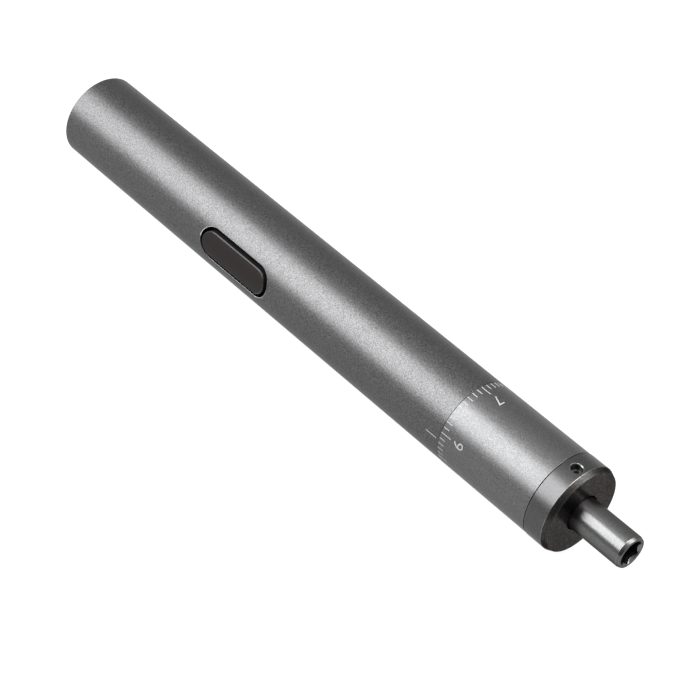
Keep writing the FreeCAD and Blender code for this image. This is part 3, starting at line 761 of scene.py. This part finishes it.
# %% Sizes of the scale
RING_RADIUS = 8.02
SCALE_START = 100.6
MARK_HEIGHT = 0.008
MARK_WIDTH = 0.14
SHORT_MARK = 1.2
LONG_MARK = 2.1
STEP_DEG = 37.0
DIVISIONS = 5
NINE_DEG = 33.15
LAST_DIGIT = 10
first_digit_deg = NINE_DEG - (9 - 1) * STEP_DEG
mark_count = (LAST_DIGIT - 1) * DIVISIONS + 1
print("marks on the scale:", mark_count)

# %% [markdown]
# ### Inputs of the tree
# Sizes could be typed into the nodes, but a tree with named inputs can be used again, as the index mark
# will do. Each input becomes a field of the modifier. Lengths are in metres and angles in radians
# there.

# %% Inputs of the marks tree
SIZE_INPUTS = ["Radius", "Start", "Pitch", "Short", "Long", "Width", "Height", "Tail", "Axis height"]


def tree_with_inputs():
    tree = bpy.data.node_groups.new("torque_scale_marks", "GeometryNodeTree")
    face = tree.interface
    face.new_socket("Geometry", in_out="INPUT", socket_type="NodeSocketGeometry")
    face.new_socket("Count", in_out="INPUT", socket_type="NodeSocketInt")
    for name in SIZE_INPUTS:
        face.new_socket(name, in_out="INPUT", socket_type="NodeSocketFloat")
    face.new_socket("Finish", in_out="INPUT", socket_type="NodeSocketMaterial")
    face.new_socket("Geometry", in_out="OUTPUT", socket_type="NodeSocketGeometry")
    return tree


marks_tree = tree_with_inputs()
given = add(marks_tree, "NodeGroupInput").outputs
print("inputs:", [item.name for item in marks_tree.interface.items_tree if item.in_out == "INPUT"])

# %% [markdown]
# ### Place and length of each mark
# The index of a point gives its angle, and the remainder after dividing by five tells the long marks
# from the short ones. Sine and cosine of the angle, times the radius, put the middle of the mark on the
# ring. A curve circle could give the points too, but it has no place for the gap in the scale.

# %% Place and length of each mark
REMAINDER_SLACK = 0.1


def calc(operation, *values):
    return add(marks_tree, "ShaderNodeMath", dict(enumerate(values)), operation=operation).outputs[0]


def vector(x=0.0, y=0.0, z=0.0):
    return add(marks_tree, "ShaderNodeCombineXYZ", {"X": x, "Y": y, "Z": z}).outputs[0]


index = add(marks_tree, "GeometryNodeInputIndex").outputs["Index"]
angle = calc("MULTIPLY_ADD", index, given["Pitch"], given["Start"])
is_fifth = calc("COMPARE", calc("MODULO", index, float(DIVISIONS)), 0.0, REMAINDER_SLACK)
longer_by = calc("SUBTRACT", given["Long"], given["Short"])
reach = calc("MULTIPLY_ADD", is_fifth, longer_by, given["Short"])
middle_x = calc("MULTIPLY_ADD", reach, 0.5, given["Tail"])
middle_y = calc("MULTIPLY", calc("MULTIPLY", calc("SINE", angle), -1.0), given["Radius"])
middle_z = calc("MULTIPLY_ADD", calc("COSINE", angle), given["Radius"], given["Axis height"])
print("nodes so far:", len(marks_tree.nodes))

# %% [markdown]
# ### A block on every point
# One block of unit length is set on all the points, stretched to the length of its mark and turned to
# face away from the axis. Instances are light, but an export drops them, so they are made real before
# the paint goes on.

# %% A block on every point
points = add(marks_tree, "GeometryNodePoints", {
    "Count": given["Count"], "Position": vector(middle_x, middle_y, middle_z),
})
block = add(marks_tree, "GeometryNodeMeshCube", {"Size": vector(1.0, given["Width"], given["Height"])})
placed = add(marks_tree, "GeometryNodeInstanceOnPoints", {
    "Points": points.outputs[0], "Instance": block.outputs["Mesh"],
    "Rotation": vector(x=angle), "Scale": vector(reach, 1.0, 1.0),
})
real = add(marks_tree, "GeometryNodeRealizeInstances", {"Geometry": placed.outputs[0]})
painted = add(marks_tree, "GeometryNodeSetMaterial", {
    "Geometry": real.outputs[0], "Material": given["Finish"],
})
add(marks_tree, "NodeGroupOutput", {"Geometry": painted.outputs[0]})
print("nodes in the finished tree:", len(marks_tree.nodes))

# %% [markdown]
# ### The marks on the ring
# The modifier sits on an empty host and gets its inputs by identifier, because names are only labels.
# The result is copied into a plain mesh, and the host is thrown away with its modifier. Applying the
# modifier would end the same, but it needs a selected object and an operator.


# %% Marks on the ring
def marks_from(name, values):
    host = show(name + "_host", bpy.data.meshes.new(name + "_host"))
    modifier = host.modifiers.new("marks", "NODES")
    modifier.node_group = marks_tree
    for item in marks_tree.interface.items_tree:
        if item.name in values:
            modifier[item.identifier] = values[item.name]
    evaluated = host.evaluated_get(bpy.context.evaluated_depsgraph_get())
    mesh = bpy.data.meshes.new_from_object(evaluated)
    bpy.data.objects.remove(host)
    print(name, "faces:", len(mesh.polygons))
    return show(name, mesh)


ring_values = {
    "Count": mark_count,
    "Radius": RING_RADIUS * MM,
    "Start": math.radians(first_digit_deg + BRIGHT_LINE_DEG),
    "Pitch": math.radians(STEP_DEG / DIVISIONS),
    "Short": SHORT_MARK * MM,
    "Long": LONG_MARK * MM,
    "Width": MARK_WIDTH * MM,
    "Height": 2 * MARK_HEIGHT * MM,
    "Tail": tail_x + SCALE_START * MM,
    "Axis height": axis_height,
    "Finish": mark_finish,
}
scale_marks = marks_from("scale_marks", ring_values)
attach(scale_marks, "ring")

# %% [markdown]
# ## The index mark
# One line on the tube shows which number is set. A single block could be added by hand, but it is the
# same kind of mark, so the same tree makes it, with a count of one. It rides on the handle: the scale
# of the ring turns past it.

# %% Index mark
INDEX_DEG = 45.2
INDEX_LENGTH = 2.46
INDEX_START = 97.5
index_values = {
    **ring_values,
    "Count": 1,
    "Radius": TUBE_RADIUS * MM,
    "Start": math.radians(INDEX_DEG + BRIGHT_LINE_DEG),
    "Short": INDEX_LENGTH * MM,
    "Long": INDEX_LENGTH * MM,
    "Tail": tail_x + INDEX_START * MM,
}
index_mark = marks_from("index_mark", index_values)
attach(index_mark, "handle")

# %% [markdown]
# ## The numbers
# Only the odd steps are numbered. Digits could be drawn point by point, but Blender has a font. A
# number starts as a flat text object, set a little thinner than the font draws it, and is made a mesh
# at once, so that nothing depends on the text afterwards.

# %% Flat numbers
DIGIT_SIZE = 2.95
THINNER_STROKE = 0.027


def flat_number(text):
    curve = bpy.data.curves.new("number_" + text, "FONT")
    curve.body = text
    curve.size = DIGIT_SIZE
    curve.offset = -THINNER_STROKE
    curve.align_x = "CENTER"
    host = show("number_host", curve)
    mesh = bpy.data.meshes.new_from_object(host.evaluated_get(bpy.context.evaluated_depsgraph_get()))
    bpy.data.objects.remove(host)
    return mesh


odd_digits = range(1, LAST_DIGIT + 1, 2)
print("numbers on the ring:", list(odd_digits))

# %% [markdown]
# ### Wrap the numbers round the ring
# A shrinkwrap modifier could press a number onto the ring, but its flat faces would bridge the curve.
# So each number is first cut into narrow strips, and then every point is moved by a formula: its
# distance sideways becomes an angle, and its height becomes a distance along the tool.

# %% Wrap the numbers
DIGIT_BASE = 103.4
STRIP_WIDTH = 0.15
STRIPS_EACH_SIDE = 20


def wrapped_number(digit):
    part = bmesh.new()
    part.from_mesh(flat_number(str(digit)))
    for k in range(-STRIPS_EACH_SIDE, STRIPS_EACH_SIDE + 1):
        geometry = part.verts[:] + part.edges[:] + part.faces[:]
        bmesh.ops.bisect_plane(part, geom=geometry, plane_co=(k * STRIP_WIDTH, 0, 0), plane_no=(1, 0, 0))
    bmesh.ops.triangulate(part, faces=part.faces[:])
    middle_deg = first_digit_deg + (digit - 1) * STEP_DEG
    for vert in part.verts:
        lean = middle_deg + math.degrees(vert.co.x / RING_RADIUS)
        vert.co = at(DIGIT_BASE + vert.co.y, RING_RADIUS + MARK_HEIGHT, lean)
    wrapped = bpy.data.meshes.new("wrapped_number")
    part.to_mesh(wrapped)
    part.free()
    return wrapped


numbers = bmesh.new()
for digit in odd_digits:
    numbers.from_mesh(wrapped_number(digit))
print("faces of the wrapped numbers:", len(numbers.faces))

# %% [markdown]
# ### Give the numbers a thickness
# Paint has a thickness, and a closed shape is safer to export than a bare skin. A Solidify modifier
# would do, but the way in is known: the skin is extruded towards the axis, as deep as the marks are,
# and its normals are turned outwards again.

# %% Number solids
NUMBER_MERGE = 0.00001
bmesh.ops.remove_doubles(numbers, verts=numbers.verts[:], dist=NUMBER_MERGE * MM)
extruded = bmesh.ops.extrude_face_region(numbers, geom=numbers.faces[:])
for vert in [item for item in extruded["geom"] if isinstance(item, bmesh.types.BMVert)]:
    vert.co -= from_axis(vert.co).normalized() * 2 * MARK_HEIGHT * MM
bmesh.ops.recalc_face_normals(numbers, faces=numbers.faces[:])
number_mesh = bpy.data.meshes.new("scale_numbers")
numbers.to_mesh(number_mesh)
numbers.free()
number_mesh.materials.append(mark_finish)
scale_numbers = show("scale_numbers", number_mesh)
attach(scale_numbers, "ring")
print("scale_numbers faces:", len(number_mesh.polygons))

# %% [markdown]
# ## The floor
# The photograph shows the tool on plain white. A white floor under strong lamps would take on shadows
# that the photograph lacks, so this floor glows by itself and only hints at what lies on it.

# %% Floor
FLOOR_REACH = 3.0
FLOOR_GREY = 0.1
FLOOR_ROUGHNESS = 0.9
floor_corners = [(-1, -1), (1, -1), (1, 1), (-1, 1)]
floor_mesh = bpy.data.meshes.new("floor")
floor_mesh.from_pydata([(x * FLOOR_REACH, y * FLOOR_REACH, 0) for x, y in floor_corners], [], [(0, 1, 2, 3)])
floor = show("floor", floor_mesh)
floor_finish, floor_tree, floor_shader = new_finish("floor_finish", [FLOOR_GREY] * 3, 0.0, FLOOR_ROUGHNESS)
floor_mesh.materials.append(floor_finish)
print("floor side:", 2 * FLOOR_REACH, "m")

# %% [markdown]
# ### Glow of the floor
# An even glow would light the tool from below as if it hung in the air. So the glow fades where the
# tool lies: a painted contact shadow, since a real floor is darker in the tool's shade there. A black
# patch of mesh would show its outline, and a soft product of two ramps, one along the tool and one
# across it, does not.

# %% Glow of the floor
OPEN_GLOW = 0.93
SHADOW_GLOW = 0.2
WHITE = (1.0, 1.0, 1.0, 1.0)
floor_parts = add(floor_tree, "ShaderNodeSeparateXYZ", {"Vector": object_place(floor_tree)}).outputs


def under_tool(axis, middle, inner, outer):
    off = add(floor_tree, "ShaderNodeMath", {0: floor_parts[axis], 1: middle * MM}, operation="SUBTRACT")
    away = add(floor_tree, "ShaderNodeMath", {0: off.outputs[0]}, operation="ABSOLUTE")
    fade = add(floor_tree, "ShaderNodeMapRange", {
        "Value": away.outputs[0], "From Min": inner * MM, "From Max": outer * MM,
        "To Min": 1.0, "To Max": 0.0,
    }, interpolation_type="SMOOTHSTEP")
    return fade.outputs["Result"]


# The glow drops under the tool: a painted contact shadow.
painted_shadow = add(floor_tree, "ShaderNodeMath", {
    0: under_tool("X", middle=-9.0, inner=45.0, outer=57.0),
    1: under_tool("Y", middle=4.8, inner=4.0, outer=9.0),
}, operation="MULTIPLY").outputs[0]
glow = spread(floor_tree, painted_shadow, OPEN_GLOW, SHADOW_GLOW)
floor_tree.links.new(glow, floor_shader.inputs["Emission Strength"])
floor_shader.inputs["Emission Color"].default_value = WHITE
print("nodes in the floor's finish:", len(floor_tree.nodes))

# %% [markdown]
# ## The tent
# Metal shows whatever stands around it, and here that is the white tent of a photo studio. A tent could
# be built as a mesh, but the world can be one too: evenly bright, with a dark opening in front, on the
# side of the camera. The opening makes the dark flank and the dark face of the collar.

# %% Tent
OPEN_FRONT = Vector((0.5, -0.8, 0.25)).normalized()
OPENING_FROM = 0.6
OPENING_FULL = 0.95
TENT_LIGHT = 0.75
OPENING_LIGHT = 0.12
world = bpy.data.worlds.new("studio")
world.use_nodes = True
sky = world.node_tree
direction = add(sky, "ShaderNodeTexCoord").outputs["Generated"]
towards_front = add(sky, "ShaderNodeVectorMath", {0: direction, 1: OPEN_FRONT}, operation="DOT_PRODUCT")
tent = add(sky, "ShaderNodeMapRange", {
    "Value": towards_front.outputs["Value"], "From Min": OPENING_FROM, "From Max": OPENING_FULL,
    "To Min": TENT_LIGHT, "To Max": OPENING_LIGHT,
}, interpolation_type="SMOOTHSTEP")
sky.links.new(tent.outputs["Result"], sky.nodes["Background"].inputs["Strength"])
sky.nodes["Background"].inputs["Color"].default_value = WHITE
bpy.context.scene.world = world
print("tent light", TENT_LIGHT, "and", OPENING_LIGHT, "in its opening")

# %% [markdown]
# ## The soft boxes
# Two soft boxes hang above. The large one, over the tail on the side of the camera, draws the long
# bright line on the tube. The narrow one, over the nose on the far side, fills that side and catches
# the bevels at the nose. Spot lights would draw hard dots: an area light has the size of a real box,
# and size is what makes a highlight broad and soft.


# %% Soft boxes
def soft_box(name, towards, distance, width, height, power, roll_deg=0.0):
    light = bpy.data.lights.new(name, "AREA")
    light.shape = "RECTANGLE"
    light.size = width
    light.size_y = height
    light.energy = power
    lamp = show(name, light)
    place = Vector(towards).normalized()
    lamp.location = place * distance
    lamp.rotation_mode = "QUATERNION"
    roll = Matrix.Rotation(math.radians(roll_deg), 3, "Z").to_quaternion()
    lamp.rotation_quaternion = place.to_track_quat("Z", "Y") @ roll
    return lamp


key_box = soft_box(
    "key_box", towards=(-0.509, -0.477, 0.716), distance=0.7,
    width=0.5, height=0.65, power=9.0, roll_deg=30.0,
)
key_box.data.color = (0.97, 1.0, 1.02)
side_box = soft_box(
    "side_box", towards=(0.26, 0.39, 0.883), distance=0.62,
    width=0.26, height=0.8, power=5.2,
)
print("soft boxes:", key_box.name, side_box.name)

# %% [markdown]
# ## The camera
# The photograph was taken from in front and above with a long lens, and the place and lens here were
# fitted to the outline of the tool in it. A Track To constraint could aim a camera at a target, but the
# fit gave directions: those that are right and up in the picture. A camera looks along its own -Z, so
# its turn is built from them. Everything is in focus, and colours are shown without a film curve.

# %% Camera
LENS = 111.9
SENSOR_WIDTH = 36.0
CAMERA_PLACE = Vector((0.1927, -0.1675, 0.2756))
RIGHT = Vector((0.66047, 0.75085, 0.0))
UP = Vector((-0.55165, 0.48524, 0.67840))
camera_data = bpy.data.cameras.new("camera")
camera_data.lens = LENS
camera_data.sensor_width = SENSOR_WIDTH
camera = show("camera", camera_data)
camera.location = CAMERA_PLACE
camera.rotation_mode = "QUATERNION"
camera.rotation_quaternion = Matrix((RIGHT, UP, RIGHT.cross(UP))).transposed().to_quaternion()
bpy.context.scene.camera = camera
bpy.context.scene.view_settings.view_transform = "Standard"
print("camera", round(CAMERA_PLACE.length / MM), "mm away, lens", LENS, "mm")
